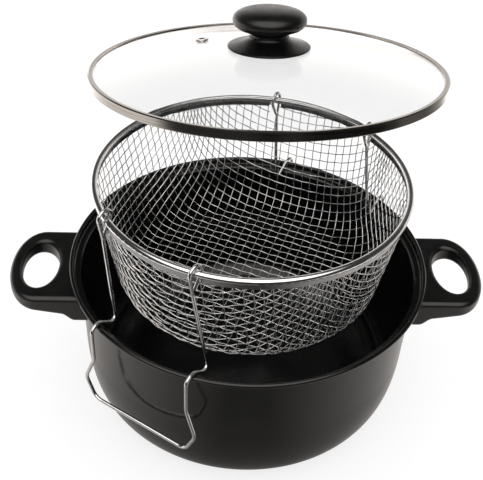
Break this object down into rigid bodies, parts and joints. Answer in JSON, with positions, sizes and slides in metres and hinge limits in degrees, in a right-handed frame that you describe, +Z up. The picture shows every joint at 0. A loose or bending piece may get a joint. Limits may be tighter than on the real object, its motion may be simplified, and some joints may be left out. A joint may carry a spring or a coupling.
{
  "type": "stovetop chip pan",
  "caption": "Black non-stick frying pot with side handles, a wire frying basket hung on its rim by hook handles, and a domed glass lid with steel band, vent and knob.",
  "frame": {"origin": "centre of the pot's flat base", "axes": "+Z up along the pot's axis; +X through the right side handle; +Y away from the front of the pan"},
  "size_m": [0.328, 0.2966, 0.2659],
  "materials": {
    "pot_coating": "satin black non-stick coating",
    "handle_phenolic": "black phenolic, satin",
    "bracket_steel": "plain steel",
    "fastener_steel": "zinc-plated steel",
    "basket_wire": "bright tinned steel wire",
    "basket_rim_steel": "polished steel strip",
    "handle_wire": "bright plated steel wire",
    "lid_glass": "clear tempered glass",
    "lid_band_steel": "satin stainless band",
    "eyelet_steel": "stainless eyelet",
    "knob_phenolic": "black phenolic, satin",
    "insert_brass": "turned brass",
    "gasket_silicone": "translucent silicone"
  },
  "bodies": {
    "pot": {"pot_body": "pot_coating", "right_handle": "handle_phenolic", "left_handle": "handle_phenolic", "right_handle_bracket": "bracket_steel", "left_handle_bracket": "bracket_steel", "right_handle_screw": "fastener_steel", "left_handle_screw": "fastener_steel", "right_handle_washer": "fastener_steel", "left_handle_washer": "fastener_steel"},
    "basket": {"basket_mesh": "basket_wire", "basket_rim": "basket_rim_steel", "basket_rim_core_wire": "basket_wire"},
    "front_handle": {"front_wire_handle": "handle_wire"},
    "rear_handle": {"rear_wire_handle": "handle_wire"},
    "lid": {"lid_glass": "lid_glass", "lid_band": "lid_band_steel", "vent_eyelet": "eyelet_steel", "knob": "knob_phenolic", "knob_skirt": "knob_phenolic", "knob_insert": "insert_brass", "knob_screw": "fastener_steel", "knob_washer": "fastener_steel", "knob_gasket": "gasket_silicone"}
  },
  "joints": [
    {"name": "basket_lift", "type": "slide", "parent": "pot", "child": "basket", "axis": [0, 0, 1], "range_m": [0, 0.12]},
    {"name": "front_handle_swing", "type": "hinge", "parent": "basket", "child": "front_handle", "pos_m": [-0.06356, -0.07059, 0.174], "axis": [-0.7431, 0.6691, 0], "range_deg": [0, 80]},
    {"name": "rear_handle_swing", "type": "hinge", "parent": "basket", "child": "rear_handle", "pos_m": [0.05159, 0.08005, 0.174], "axis": [0.8406, -0.5417, 0], "range_deg": [0, 80]},
    {"name": "lid_lift", "type": "slide", "parent": "basket", "child": "lid", "axis": [0, 0, 1], "range_m": [0, 0.1]}
  ],
  "couplings": [
    {"joint": "front_handle_swing", "follows": "basket_lift", "rad_per_m": 11.635},
    {"joint": "rear_handle_swing", "follows": "basket_lift", "rad_per_m": 11.635}
  ]
}
